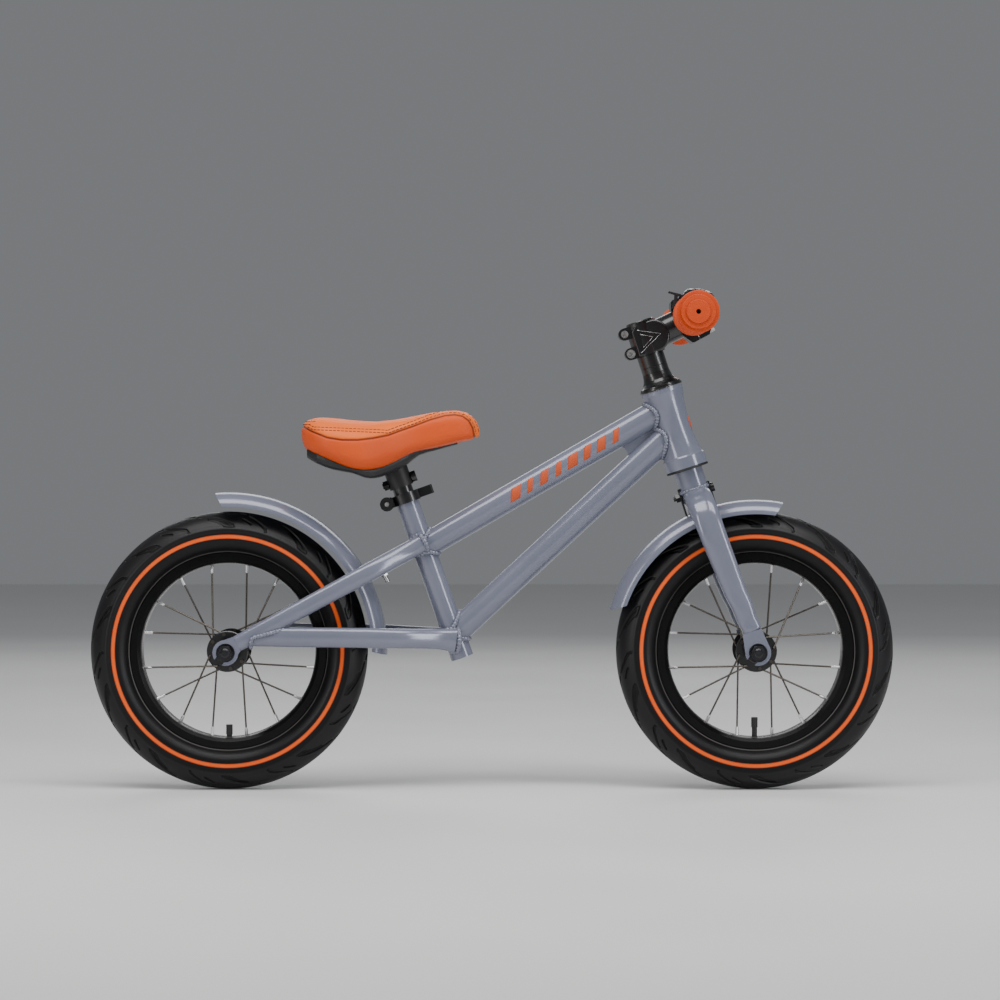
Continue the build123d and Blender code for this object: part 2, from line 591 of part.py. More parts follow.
# front fender brackets: one strap on each face of the crown, with the through bolt and nut
bladeDisc = rod(at(frontAxle, -40), at(frontAxle, 40), frontFender["crown"] + 0.02)
straps = steerPlane * (box(16.2, 18.0, -7, 7, -56, -21) + box(-18.0, -16.2, -7, 7, -56, -20))
straps = straps - bladeDisc
straps -= steerPlane * rod((-30, 0, crownBoltS), (30, 0, crownBoltS), 3.05)
crownBolt = rod((-25.0, 0, crownBoltS), (18.0, 0, crownBoltS), 3.0) + rod((18.0, 0, crownBoltS), (21.6, 0, crownBoltS), 5.2)
crownNut = extrude(Plane(origin=(-22.4, 0, crownBoltS), x_dir=across, z_dir=(1, 0, 0)) * RegularPolygon(5.4, 6), amount=4.4)
hardware = steerPlane * (crownBolt + crownNut)
save("front_fender_bracket", Compound(children=solids(straps) + solids(hardware)))

# --- headset cover, spacers, stem ---
cover2 = turned([(steererRadius, 91.0), (23.7, 91.0), (23.9, 92.2), (23.7, 93.2), (22.9, 93.3), (22.9, 93.8),
                 (23.2, 93.9), (22.8, 95.2), (20.6, 97.0), (18.2, 99.4), (16.6, 102.6), (15.6, 106.4), (15.1, 110.0),
                 (steererRadius, 110.0)])
save("headset_cover", steerPlane * cover2)
spacers = turned([(steererRadius, 110.0), (14.7, 110.0), (15.0, 110.3), (15.0, 116.7), (14.7, 117.0),
                  (steererRadius, 117.0)])
spacer2 = turned([(steererRadius, 117.0), (14.7, 117.0), (15.0, 117.3), (15.0, 130.7), (14.7, 131.0),
                  (steererRadius, 131.0)])
save("headset_spacers", steerPlane * Compound(children=solids(spacers) + solids(spacer2)))

earN, earUpper, earLower, earRadius = -20.4, 160.2, 137.6, 6.6
clampTilt = 10.0
ct = radians(clampTilt)
clampPlane = Plane(origin=at(barCentre, 0), x_dir=(cos(ct), 0, sin(ct)), z_dir=(-sin(ct), 0, cos(ct)))
stem = Pos(0, 0, 131) * Cylinder(17.4, 36, align=low)
side = Polyline((-13, 0, 160), (-13, 0, 131), (12, 0, 131)) \
    + ThreePointArc((12, 0, 131), (27.2, 0, 148.6), (13, 0, 166.6)) \
    + Polyline((13, 0, 166.6), (-6, 0, 167), (-13, 0, 160))
plate = extrude(make_face(side), amount=16.6, dir=(0, 1, 0), both=True)
plateRim = [e for e in plate.edges() if abs(abs(e.center().Y) - 16.6) < 0.01]
plate = fillet(plateRim, 2.4)
stem += plate
stem += rod((4, 0, 148.2), (barCentre[0] - 8, 0, barCentre[1] - 1.6), 16.0)
for s in (earUpper, earLower):
    stem += rod((earN, -13, s), (earN, 13, s), earRadius) + box(earN, 0, -13, 13, s - earRadius, s + earRadius)
block = clampPlane * slab([(-0.6, -26), (-8.8, -26), (-14.5, -15), (-14.5, 15), (-8.8, 26), (-0.6, 26)], -22, 22)
block = chamfer(block.edges().filter_by(Axis.Y), 1.2)
stem += block
face = clampPlane * (box(0.6, 19.5, -22, 22, -26, 26))
face = chamfer(face.edges().filter_by(Axis.Y).sort_by(Axis.X)[-2:], 8.0)
barHole = rod((barCentre[0], -30, barCentre[1]), (barCentre[0], 30, barCentre[1]), barClampRadius)
stem -= barHole
face -= barHole
stem -= Pos(0, 0, 120) * Cylinder(steererRadius, 60, align=low)
stem -= box(-40, -8, -1.0, 1.0, 120, 180)
for s in (earUpper, earLower):
    stem -= rod((earN, -20, s), (earN, 20, s), 2.55)
outerV = [(-6.0, 160.2), (17.4, 148.9), (-9.4, 135.2)]
innerV = [(-4.4, 154.8), (8.4, 148.2), (-5.4, 140.2)]
for y0, y1 in ((-18, -15.8), (15.8, 18)):
    stem -= slab(outerV, y0, y1) - slab(innerV, y0 - 1, y1 + 1)
faceBolts = []
for f in (-20.8, 20.8):
    for y in (-15.5, 15.5):
        hole = clampPlane * rod((-10, y, f), (25, y, f), 2.55)
        stem -= hole
        face -= hole
        face -= clampPlane * rod((15.5, y, f), (25, y, f), 4.4)
        faceBolts.append(clampPlane * (rod((-9, y, f), (15.5, y, f), 2.5) + rod((15.5, y, f), (19.2, y, f), 4.2)
                                       - rod((17, y, f), (20, y, f), 1.6)))
clampBolts = []
for s, head in ((earUpper, 4.0), (earLower, 4.8)):
    clampBolts.append(rod((earN, -13, s), (earN, 13.4, s), 2.5) + rod((earN, -14.8, s), (earN, -13.0, s), head)
                      - rod((earN, -15.5, s), (earN, -11.8, s), 2.1))
save("stem_body", steerPlane * biggest(stem))
save("stem_faceplate", steerPlane * biggest(face))
save("stem_bolts", steerPlane * Compound(children=[s for b in faceBolts + clampBolts for s in solids(b)]))
cap = turned([(0, 166.9), (9.6, 166.9), (9.6, 167.0), (15.4, 167.0), (15.4, 168.4), (14.6, 169.4), (5.0, 169.8),
              (0, 169.8)]) + turned([(0, 150), (3, 150), (3, 167), (0, 167)])
cap += turned([(3.0, 152), (steererRadius - 2.0, 152), (steererRadius - 2.0, 155), (3.0, 155)])
save("top_cap", steerPlane * cap)

# --- handlebar and grips ---
barOrigin = (barCentre[0], 0, barCentre[1])
barHalf = turned([(9.2, 0), (barClampRadius, 0), (barClampRadius, 27), (barRadius, 45), (barRadius, barHalfWidth),
                  (9.2, barHalfWidth)], origin=barOrigin, axis=across)
save("handlebar", steerPlane * (barHalf + mirrored(barHalf)))
gripProfile = [(barRadius, 100), (20.6, 100), (gripFlangeRadius, 101.4), (gripFlangeRadius, 104.6), (20.8, 106),
               (17.4, 107.4), (gripRadius, 110)]
for k in range(9):
    y = 114 + k * 8.4
    gripProfile += [(gripRadius, y), (gripRadius - 0.9, y + 0.8), (gripRadius - 0.9, y + 2.6), (gripRadius, y + 3.4)]
gripProfile += [(gripRadius, 188), (17.4, 190.6), (21.0, 192), (22.4, 193.4), (22.4, 196.6), (21.6, 197.4),
                (18.2, 197.4), (18.2, 199.6), (17.8, 200), (12.4, 200), (12.4, 201.6), (12.0, 202), (2.6, 202),
                (2.6, barHalfWidth), (barRadius, barHalfWidth)]
grip = turned(gripProfile, origin=barOrigin, axis=across)
save("grip_left", steerPlane * grip)
save("grip_right", steerPlane * mirrored(grip))

# --- bell on the right of the bar ---
bellY, bellTilt, domeX = -58.0, 8.0, 5.0
barWorld = steerXZ(*barCentre)
bt = radians(bellTilt)
bellPlane = Plane(origin=at(barWorld, bellY), x_dir=(cos(bt), 0, -sin(bt)), z_dir=(sin(bt), 0, cos(bt)))
pinX, pinZ = -19.4, 9.0
base = rod((0, -7, 0), (0, 7, 0), 14.2) + Pos(domeX, 0, 12.0) * Cylinder(15.0, 2.8, align=low)
base += box(-9, 9, -6.5, 6.5, 6, 13) + box(-21.8, 2, -6.5, 6.5, 12.0, 14.8)
base += box(-21.8, -16.8, -6.5, 6.5, 6.6, 12.4)
base -= box(-30, -14.6, -4.4, 4.4, 4, 20)
base -= rod((0, -10, 0), (0, 10, 0), barRadius)
base += Pos(domeX, 0, 14.0) * Cylinder(2.6, 15.8, align=low)
base += rod((pinX, -6.5, pinZ), (pinX, 6.5, pinZ), 1.0)
save("bell_base", bellPlane * base)
domeOuter = [(17.5, 16.4), (17.5, 23.0), (16.6, 26.0), (14.2, 28.6), (10.2, 30.3), (5.2, 31.1), (0, 31.3)]
domeInner = [(0, 29.8), (4.8, 29.8), (9.4, 29.2), (13.2, 27.5), (15.3, 25.4), (16.3, 22.8), (16.3, 16.4)]
dome = Pos(domeX, 0, 0) * turned(domeOuter + domeInner)
save("bell_dome", bellPlane * dome)
striker = rod((pinX, -4.0, pinZ), (pinX, 4.0, pinZ), 2.3) - rod((pinX, -5, pinZ), (pinX, 5, pinZ), 1.05)
striker += slab([(pinX - 1.2, pinZ + 1.9), (pinX + 1.4, pinZ + 1.8), (pinX + 2.0, 21.0), (pinX + 2.2, 22.4),
                 (pinX - 2.0, 22.4), (pinX - 1.6, 18.0)], -3.6, 3.6)
striker += slab([(-28.4, 22.2), (-28.0, 24.0), (-14.2, 22.6), (-13.4, 21.8), (-13.4, 20.6), (-17.0, 20.4)], -4.0, 4.0)
save("bell_striker", bellPlane * striker)
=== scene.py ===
import json
import math

import bmesh
import bpy
from mathutils import Matrix, Vector
from mathutils.bvhtree import BVHTree


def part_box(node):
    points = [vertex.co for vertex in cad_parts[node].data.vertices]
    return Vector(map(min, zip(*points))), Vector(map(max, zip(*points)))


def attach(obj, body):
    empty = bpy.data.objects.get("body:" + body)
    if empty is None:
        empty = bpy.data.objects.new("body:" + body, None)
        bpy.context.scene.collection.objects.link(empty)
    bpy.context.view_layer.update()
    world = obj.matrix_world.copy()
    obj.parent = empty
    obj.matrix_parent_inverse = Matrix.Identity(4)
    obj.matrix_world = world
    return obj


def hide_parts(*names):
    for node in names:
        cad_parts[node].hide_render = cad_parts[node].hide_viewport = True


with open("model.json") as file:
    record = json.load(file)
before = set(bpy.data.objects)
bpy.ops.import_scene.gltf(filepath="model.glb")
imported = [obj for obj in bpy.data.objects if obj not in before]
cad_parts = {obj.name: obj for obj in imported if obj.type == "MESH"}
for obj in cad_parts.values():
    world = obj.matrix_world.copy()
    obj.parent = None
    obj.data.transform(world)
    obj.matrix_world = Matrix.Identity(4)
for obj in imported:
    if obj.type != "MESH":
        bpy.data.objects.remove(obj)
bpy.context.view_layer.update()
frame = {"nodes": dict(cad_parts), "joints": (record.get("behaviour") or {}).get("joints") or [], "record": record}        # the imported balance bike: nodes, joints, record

nodes = frame["nodes"]


def middle(node):
    low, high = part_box(node)
    return (low + high) / 2


frontHub = middle("front_hub")
rearHub = middle("rear_hub")
steerJoint = next(j for j in frame["joints"] if j["name"] == "steering_turn")
headFoot = Vector(steerJoint["pos_m"])
headUp = Vector(steerJoint["axis"]).normalized()
headFront = Vector((0, 1, 0)).cross(headUp).normalized()  # forward, square to the steering axis
mm = 0.001
tubeRadius = 14.3 * mm  # of the two main tubes, whose centre lines run between these points
tubeEnds = {"top_tube": (Vector((-75.6, 0, 265.6)) * mm, Vector((193.0, 0, 420.8)) * mm),
            "down_tube": (Vector((-41.8, 0, 169.9)) * mm, Vector((201.2, 0, 395.2)) * mm)}


def inSteering(forward, side, up):
    return headFoot + headFront * forward * mm + Vector((0, side * mm, 0)) + headUp * up * mm


shot = {"place": (0.0089, -3.8, 0.3672), "lens": 124.25, "shift": -0.045}


def placeCamera():
    lens = bpy.data.cameras.new("bikeCamera")
    lens.lens, lens.sensor_width = shot["lens"], 36.0
    lens.shift_y = shot["shift"]
    camera = bpy.data.objects.new("bikeCamera", lens)
    camera.location = shot["place"]
    camera.rotation_euler = (math.pi / 2, 0, 0)
    bpy.context.scene.collection.objects.link(camera)
    bpy.context.scene.camera = camera


studio = {
    "sky": (0.62, 0.64, 0.67), "skyPower": 0.3,
    "panels": [
        # name, place, aim, width, height, power, colour
        ("topPanel", (0.0, -0.8, 2.1), (0.0, 0.0, 0.3), 2.8, 1.0, 58, (1.0, 0.99, 0.98)),
        ("leftPanel", (-2.2, -1.9, 0.9), (0.0, 0.0, 0.35), 0.6, 1.9, 24, (1.0, 0.98, 0.95)),
        ("rightPanel", (2.3, -1.7, 0.9), (0.0, 0.0, 0.35), 0.6, 1.9, 32, (0.97, 0.98, 1.0)),
        ("backPanel", (0.0, 2.4, 1.6), (0.0, 0.0, 0.3), 2.4, 0.8, 16, (1.0, 1.0, 1.0)),
    ],
}


def lightStudio():
    world = bpy.data.worlds.new("paleStudio")
    bpy.context.scene.world = world
    world.use_nodes = True
    back = world.node_tree.nodes["Background"]
    back.inputs["Color"].default_value = (*studio["sky"], 1)
    back.inputs["Strength"].default_value = studio["skyPower"]
    for name, place, aim, width, height, power, colour in studio["panels"]:
        lamp = bpy.data.lights.new(name, "AREA")
        lamp.shape, lamp.size, lamp.size_y = "RECTANGLE", width, height
        lamp.energy, lamp.color = power, colour
        holder = bpy.data.objects.new(name, lamp)
        holder.location = place
        turn = (Vector(aim) - Vector(place)).to_track_quat("-Z", "Y")
        holder.rotation_euler = turn.to_euler()
        bpy.context.scene.collection.objects.link(holder)


class Wire:  # one shader socket that can be used in a sum, product or power
    def __init__(self, maker, socket):
        self.maker, self.socket = maker, socket

    def join(self, operation, other, swap=False):
        first, second = (other, self) if swap else (self, other)
        return self.maker.node("ShaderNodeMath", {"operation": operation}, {0: first, 1: second})

    def __add__(self, other): return self.join("ADD", other)
    def __radd__(self, other): return self.join("ADD", other, True)
    def __sub__(self, other): return self.join("SUBTRACT", other)
    def __rsub__(self, other): return self.join("SUBTRACT", other, True)
    def __mul__(self, other): return self.join("MULTIPLY", other)
    def __rmul__(self, other): return self.join("MULTIPLY", other, True)
    def __pow__(self, other): return self.join("POWER", other)


class Finish:  # one material and the nodes behind its Principled shader
    def __init__(self, name):
        self.material = bpy.data.materials.new(name)
        self.material.use_nodes = True
        self.tree = self.material.node_tree
        self.shader = self.tree.nodes["Principled BSDF"]

    def node(self, kind, settings=None, values=None, output=0):
        made = self.tree.nodes.new(kind)
        for key, value in (settings or {}).items():
            setattr(made, key, value)
        for key, value in (values or {}).items():
            if isinstance(value, Wire):
                self.tree.links.new(value.socket, made.inputs[key])
            else:
                made.inputs[key].default_value = value
        return Wire(self, made.outputs[output])

    def place(self, scale=(1, 1, 1)):
        spot = self.node("ShaderNodeTexCoord", output="Object")
        return self.node("ShaderNodeMapping", {"vector_type": "POINT"},
                         {"Vector": spot, "Scale": scale})

    def noise(self, where, scale, detail=2.0, rough=0.5):
        return self.node("ShaderNodeTexNoise", {}, {"Vector": where, "Scale": scale, "Detail": detail,
                                                    "Roughness": rough})

    def cells(self, where, scale, feature="F1"):
        return self.node("ShaderNodeTexVoronoi", {"feature": feature}, {"Vector": where, "Scale": scale})

    def spread(self, value, low, high, toLow, toHigh):
        span = {"From Min": low, "From Max": high, "To Min": toLow, "To Max": toHigh}
        return self.node("ShaderNodeMapRange", {"clamp": True}, {"Value": value, **span})

    def blend(self, factor, first, second):
        a = first if isinstance(first, Wire) else (*first, 1)
        b = second if isinstance(second, Wire) else (*second, 1)
        return self.node("ShaderNodeMix", {"data_type": "RGBA"}, {0: factor, 6: a, 7: b}, output=2)

    def axis(self, where, which):
        return self.node("ShaderNodeSeparateXYZ", {}, {0: where}, output="XYZ".index(which))

    def vector(self, operation, first, second=None, output=0):
        values = {0: first} if second is None else {0: first, 3 if operation == "SCALE" else 1: second}
        return self.node("ShaderNodeVectorMath", {"operation": operation}, values, output)

    def attribute(self, name):
        return self.node("ShaderNodeAttribute", {"attribute_name": name}, output="Fac")

    def bump(self, height, distance, strength=1.0):
        return self.node("ShaderNodeBump", {}, {"Height": height, "Distance": distance, "Strength": strength})

    def set(self, **sockets):
        for key, value in sockets.items():
            socket = self.shader.inputs[key.replace("_", " ")]
            if isinstance(value, Wire):
                self.tree.links.new(value.socket, socket)
            else:
                socket.default_value = (*value, 1) if isinstance(value, tuple) else value
        return self


def hubDistance(finish, where):  # distance from the nearer wheel's axis, in metres
    across = finish.axis(where, "X")
    flat = finish.node("ShaderNodeMath", {"operation": "ABSOLUTE"}, {0: across}) - frontHub.x
    rise = finish.axis(where, "Z") - frontHub.z
    return (flat * flat + rise * rise) ** 0.5


paint = {
    "colour": (0.178, 0.188, 0.248), "deep": (0.16, 0.17, 0.226),
    "fleck": (0.42, 0.45, 0.5), "rough": 0.17,
}


def framePaint(name="framePaint", start=None, run=None):  # with start and run, shaded as a true round tube
    f = Finish(name)
    where = f.place()
    cloud, flake = f.noise(where, 14, 3), f.noise(where, 3600, 1)
    tint = f.blend(f.spread(cloud, 0.3, 0.7, 0, 1), paint["deep"], paint["colour"])
    speck = f.spread(flake, 0.6, 0.8, 0, 0.05)
    f.set(Base_Color=f.blend(speck, tint, paint["fleck"]), Metallic=0.15,
          Roughness=f.spread(cloud, 0.3, 0.7, paint["rough"] - 0.03, paint["rough"] + 0.04))
    if start is not None:
        reach = f.vector("SUBTRACT", where, tuple(start))
        along = f.vector("DOT_PRODUCT", reach, tuple(run), output=1)
        f.set(Normal=f.vector("NORMALIZE", f.vector("SUBTRACT", reach, f.vector("SCALE", tuple(run), along))))
    else:
        f.set(Normal=f.bump(f.noise(where, 160, 1), 0.00002, 0.1))
    return f.set(Specular_IOR_Level=0.62).material


def blackMetal():
    f = Finish("blackMetal")
    where = f.place()
    cloud, grain = f.noise(where, 22, 3), f.noise(where, 1500, 2)
    worn = f.spread(f.noise(where, 60, 4), 0.66, 0.8, 0, 1)
    f.set(Base_Color=f.blend(worn, (0.004, 0.004, 0.0046), (0.0095, 0.0093, 0.0096)),
          Roughness=f.spread(cloud, 0.3, 0.7, 0.26, 0.36), Normal=f.bump(grain, 0.00002, 0.15))
    return f.set(Metallic=0.0, Coat_Weight=0.4, Coat_Roughness=0.1).material


def rimBlack():
    f = Finish("rimBlack")
    where = f.place()
    cloud = f.noise(where, 30, 3)
    # painted highlight: a pale metallic hairline ring at the rim's inner edge, standing for light reflected
    # there
    edge = f.spread(hubDistance(f, where), 0.0955, 0.0962, 1, 0)
    f.set(Base_Color=f.blend(edge * 0.7, (0.002, 0.002, 0.0024), (0.3, 0.29, 0.28)), Metallic=edge * 0.8,
          Roughness=f.spread(cloud, 0.3, 0.7, 0.22, 0.3))
    return f.set(Specular_IOR_Level=0.2).material


def blackPlastic():
    f = Finish("blackPlastic")
    where = f.place()
    grain = f.cells(where, 1300)
    cloud = f.noise(where, 35, 3)
    f.set(Base_Color=f.blend(cloud, (0.0055, 0.0055, 0.006), (0.0105, 0.0105, 0.011)),
          Roughness=f.spread(cloud, 0.3, 0.7, 0.42, 0.56), Normal=f.bump(grain, 0.00006, 0.5))
    return f.material


def tyreRubber():
    f = Finish("tyreRubber")
    where = f.place()
    reach = hubDistance(f, where)
    shoulder = f.spread(reach, 0.1325, 0.1345, 0, 1)
    band = f.spread(reach, 0.1285, 0.1292, 0, 1) * (1 - shoulder)
    cloud, grain = f.noise(where, 38, 4), f.noise(where, 900, 3)
    dust = f.spread(f.noise(where, 9, 4), 0.5, 0.75, 0, 0.5)
    wall = f.blend(cloud, (0.0032, 0.0031, 0.0037), (0.006, 0.0058, 0.0068))
    wall = f.blend(band, wall, (0.0015, 0.0015, 0.0018))
    tread = f.blend(cloud, (0.0055, 0.0055, 0.0063), (0.01, 0.0098, 0.0112))
    # painted highlight: a pale ring painted on the rubber by the bead, standing for light caught along the
    # rim flange line
    bead = f.spread(reach, 0.1082, 0.1086, 0, 1) * f.spread(reach, 0.1092, 0.1096, 1, 0)
    wall = f.blend(bead, wall, (0.11, 0.105, 0.1))
    colour = f.blend(shoulder, wall, tread)
    colour = f.blend(dust * shoulder * 0.5, colour, (0.02, 0.0195, 0.019))
    # painted shade: the pressed-in tread grooves are painted near black, as shade in them
    f.set(Base_Color=f.blend(f.attribute("grooveDepthAndShade"), colour, (0.001, 0.001, 0.001)),
          Roughness=f.spread(grain, 0.3, 0.7, 0.34, 0.46) + band * 0.14,
          Normal=f.bump(grain, 0.00006, 0.4))
    return f.set(Specular_IOR_Level=0.24).material


def stripeRubber():
    f = Finish("stripeRubber")
    where = f.place()
    cloud, grain = f.noise(where, 55, 4), f.noise(where, 1200, 2)
    reach = hubDistance(f, where)
    border = f.spread(reach, 0.1234, 0.1243, 1, 0) + f.spread(reach, 0.1266, 0.1275, 0, 1)
    body = f.blend(cloud, (0.74, 0.085, 0.006), (0.86, 0.12, 0.012))
    f.set(Base_Color=f.blend(border * 0.7, body, (0.16, 0.02, 0.006)),
          Roughness=f.spread(grain, 0.3, 0.7, 0.5, 0.64), Normal=f.bump(grain, 0.00006, 0.4))
    return f.set(Specular_IOR_Level=0.25).material


def softRubber(name="softRubber", dark=(0.005, 0.005, 0.005), light=(0.01, 0.01, 0.01)):
    f = Finish(name)
    where = f.place()
    cloud, grain = f.noise(where, 50, 3), f.noise(where, 1100, 2)
    f.set(Base_Color=f.blend(cloud, dark, light), Roughness=f.spread(grain, 0.3, 0.7, 0.48, 0.64),
          Normal=f.bump(grain, 0.00007, 0.5))
    return f.material


def gripRubber():
    f = Finish("gripRubber")
    where = f.place()
    cloud, grain = f.noise(where, 40, 4), f.cells(where, 1500)
    worn = f.spread(f.noise(where, 120, 3), 0.6, 0.8, 0, 0.35)
    body = f.blend(cloud, (0.5, 0.052, 0.008), (0.6, 0.07, 0.013))
    f.set(Base_Color=f.blend(worn, body, (0.64, 0.1, 0.03)), Roughness=f.spread(cloud, 0.3, 0.7, 0.4, 0.54),
          Normal=f.bump(grain, 0.00005, 0.5))
    return f.set(Specular_IOR_Level=0.3).material


def steel(name, bright, dull, rough):
    f = Finish(name)
    where = f.place()
    streak = f.noise(f.place(scale=(1, 8, 1)), 260, 3)
    cloud = f.noise(where, 40, 3)
    f.set(Base_Color=f.blend(cloud, dull, bright), Metallic=1.0,
          Roughness=f.spread(streak, 0.3, 0.7, rough - 0.07, rough + 0.09),
          Normal=f.bump(streak, 0.00003, 0.3))
    return f.material


def spokeSteel():
    f = Finish("spokeSteel")
    where = f.place()
    nipple = f.spread(hubDistance(f, where), 0.0866, 0.0872, 0, 1)
    streak = f.noise(f.place(scale=(3, 1, 3)), 300, 2)
    wire = f.blend(streak, (0.07, 0.062, 0.055), (0.14, 0.125, 0.11))
    f.set(Base_Color=f.blend(nipple, wire, (0.72, 0.72, 0.73)), Metallic=1.0,
          Roughness=f.spread(streak, 0.3, 0.7, 0.3, 0.42))
    return f.material


def toPiece(name, bm, finish, body, replaced=()):
    bmesh.ops.remove_doubles(bm, verts=bm.verts, dist=1e-7)
    bmesh.ops.recalc_face_normals(bm, faces=bm.faces)
    mesh = bpy.data.meshes.new(name)
    bm.to_mesh(mesh)
    bm.free()
    return dressPiece(name, mesh, finish, body, replaced)


def dressPiece(name, mesh, finish, body, replaced=()):
    piece = bpy.data.objects.new(name, mesh)
    bpy.context.scene.collection.objects.link(piece)
    mesh.materials.clear()
    mesh.materials.append(finish)
    mesh.polygons.foreach_set("use_smooth", [True] * len(mesh.polygons))
    if body:
        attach(piece, body)
    if replaced:
        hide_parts(*replaced)
    return piece


def tree(node):
    mesh = nodes[node].data
    return BVHTree.FromPolygons([v.co for v in mesh.vertices], [p.vertices for p in mesh.polygons])


def flowLine(points, step):  # smooth line through a few points, sampled evenly
    pts = [Vector(p) for p in points]
    ends = [2 * pts[0] - pts[1]] + pts + [2 * pts[-1] - pts[-2]]
    fine = []
    for i in range(1, len(ends) - 2):
        a, b, c, d = ends[i - 1:i + 3]
        for k in range(16):
            t = k / 16
            fine.append(0.5 * (2 * b + (c - a) * t + (2 * a - 5 * b + 4 * c - d) * t * t
                               + (3 * b - a - 3 * c + d) * t ** 3))
    fine.append(pts[-1])
    return evenSteps(fine, step)


def evenSteps(fine, step, closed=False):
    if closed:
        fine = fine + [fine[0]]
    walked = [0.0]
    for a, b in zip(fine, fine[1:]):
        walked.append(walked[-1] + (b - a).length)
    count = max(int(round(walked[-1] / step)), 2)
    out, i = [], 0
    for k in range(count if closed else count + 1):
        goal = walked[-1] * k / count
        while i < len(fine) - 2 and walked[i + 1] < goal:
            i += 1
        span = walked[i + 1] - walked[i]
        out.append(fine[i].lerp(fine[i + 1], (goal - walked[i]) / span if span else 0))
    return out


tyreShape = {
    "outer": [(103.6, 12.7), (107.8, 13.3), (109.2, 15.6), (111.2, 18.6), (114.2, 21.7), (118.6, 24.3),
              (122.6, 25.3), (125.5, 25.55), (128.6, 25.35), (132.0, 24.6), (136.2, 22.9), (140.4, 20.3),
              (144.4, 16.9), (147.8, 12.8), (150.3, 8.2), (151.9, 4.0), (152.5, 0.0)],  # radius, side in mm
    "profileStep": 1.35, "steps": 540,
    "wall": 3.4, "bead": (103.6, 9.4), "innerTop": 149.1,
    "ridge": 0.4, "ridges": [(119.4, 0.5), (129.0, 0.45), (133.2, 0.6), (134.6, 0.4)],
    "treadFrom": 136.5, "refine": (3.4, 2.3), "edge": 1.35, "slope": 0.5,
    "repeats": 10, "depth": 1.7,
    # one stroke of the tread: start angle, side, end angle, side, half width, in degrees and mm
    "strokes": [(-2.0, 21.6, 4.0, 17.0, 1.0), (4.0, 17.0, 13.0, 9.4, 1.15), (-3.0, 23.6, 1.5, 21.4, 0.9),
                (1.5, 21.4, 8.4, 15.6, 1.05), (-3.0, 23.6, -2.0, 21.6, 0.9), (14.6, 6.6, 18.2, 1.4, 1.1),
                (19.0, 20.8, 23.0, 16.6, 1.0), (23.0, 16.6, 27.6, 10.4, 1.1), (19.0, 20.8, 18.2, 23.4, 0.8),
                (25.8, 19.6, 30.0, 15.4, 0.9), (29.2, 7.4, 33.0, 3.0, 1.0)],
}


def strokeNear(spot):  # distance from the nearest tread stroke, in half widths of that stroke
    s = tyreShape
    radius = math.hypot(spot.x, spot.z) / mm
    angle, side = math.degrees(math.atan2(spot.z, spot.x)) % 360, spot.y / mm
    period = 360.0 / s["repeats"]
    nearest = 99.0
    for hand in (1, -1):
        if side * hand < -2.0:
            continue
        local = (angle + (0 if hand > 0 else period / 2)) % period
        for turned in (local - period, local):
            u, v = math.radians(turned) * radius, side * hand
            for a0, v0, a1, v1, half in s["strokes"]:
                if a0 - 3 < turned < a1 + 3:
                    u0, dv = math.radians(a0) * radius, v1 - v0
                    du = math.radians(a1) * radius - u0
                    t = min(max(((u - u0) * du + (v - v0) * dv) / (du * du + dv * dv), 0.0), 1.0)
                    nearest = min(nearest, math.hypot(u - u0 - du * t, v - v0 - dv * t) / half)
    return nearest


def cutTread(bm):  # finer mesh along the strokes, then press them in
    s = tyreShape
    outside = bm.verts.layers.float["outside"]

    def onTread(v):
        return v[outside] > 0 and math.hypot(v.co.x, v.co.z) > s["treadFrom"] * mm

    for reach in s["refine"]:
        near = {v for v in bm.verts if onTread(v) and strokeNear(v.co) < reach}
        edges = [e for e in bm.edges if e.verts[0] in near and e.verts[1] in near]
        bmesh.ops.subdivide_edges(bm, edges=edges, cuts=1, use_grid_fill=True)
    bm.normal_update()
    # each vertex's share of groove depth, which the tyre finish also uses to paint shade in the grooves
    grooveDepthAndShade = bm.verts.layers.float.new("grooveDepthAndShade")
    moves = []
    for v in bm.verts:
        if onTread(v):
            v[grooveDepthAndShade] = min(max((s["edge"] - strokeNear(v.co)) / s["slope"], 0.0), 1.0)
            moves.append((v, v.normal * v[grooveDepthAndShade] * s["depth"] * mm))
    for v, move in moves:
        v.co -= move


def makeTyre(name, body, node, hub, finish):
    s = tyreShape
    outer = flowLine([Vector((r, y, 0)) for r, y in s["outer"]], s["profileStep"])
    for p in outer:
        for where, width in s["ridges"]:
            p.y += s["ridge"] * math.exp(-((p.x - where) / width) ** 2)
    inner = []
    for i in range(0, len(outer), 5):
        a, b = outer[max(i - 1, 0)], outer[min(i + 1, len(outer) - 1)]
        along = (b - a).normalized()
        q = outer[i] + Vector((along.y, -along.x, 0)) * s["wall"]
        inner.append(Vector((min(q.x, s["innerTop"]), max(q.y, 0.0), 0)))
    inner[0] = Vector((*s["bead"], 0))
    inner[-1] = Vector((s["innerTop"], 0, 0))
    loop = outer + [Vector((p.x, -p.y, 0)) for p in reversed(outer[:-1])]
    loop += [Vector((p.x, -p.y, 0)) for p in inner] + list(reversed(inner[:-1]))
    bm = bmesh.new()
    outside = bm.verts.layers.float.new("outside")
    ring = [bm.verts.new((p.x * mm, p.y * mm, 0)) for p in loop]
    for v in ring[:len(outer) * 2 - 1]:
        v[outside] = 1.0
    edges = [bm.edges.new((a, b)) for a, b in zip(ring, ring[1:] + ring[:1])]
    bmesh.ops.spin(bm, geom=ring + edges, cent=(0, 0, 0), axis=(0, 1, 0), angle=math.tau, steps=s["steps"],
                   use_merge=True)
    bmesh.ops.recalc_face_normals(bm, faces=bm.faces)
    cutTread(bm)
    bmesh.ops.translate(bm, verts=bm.verts, vec=hub)
    return toPiece(name, bm, finish, body, (node,))


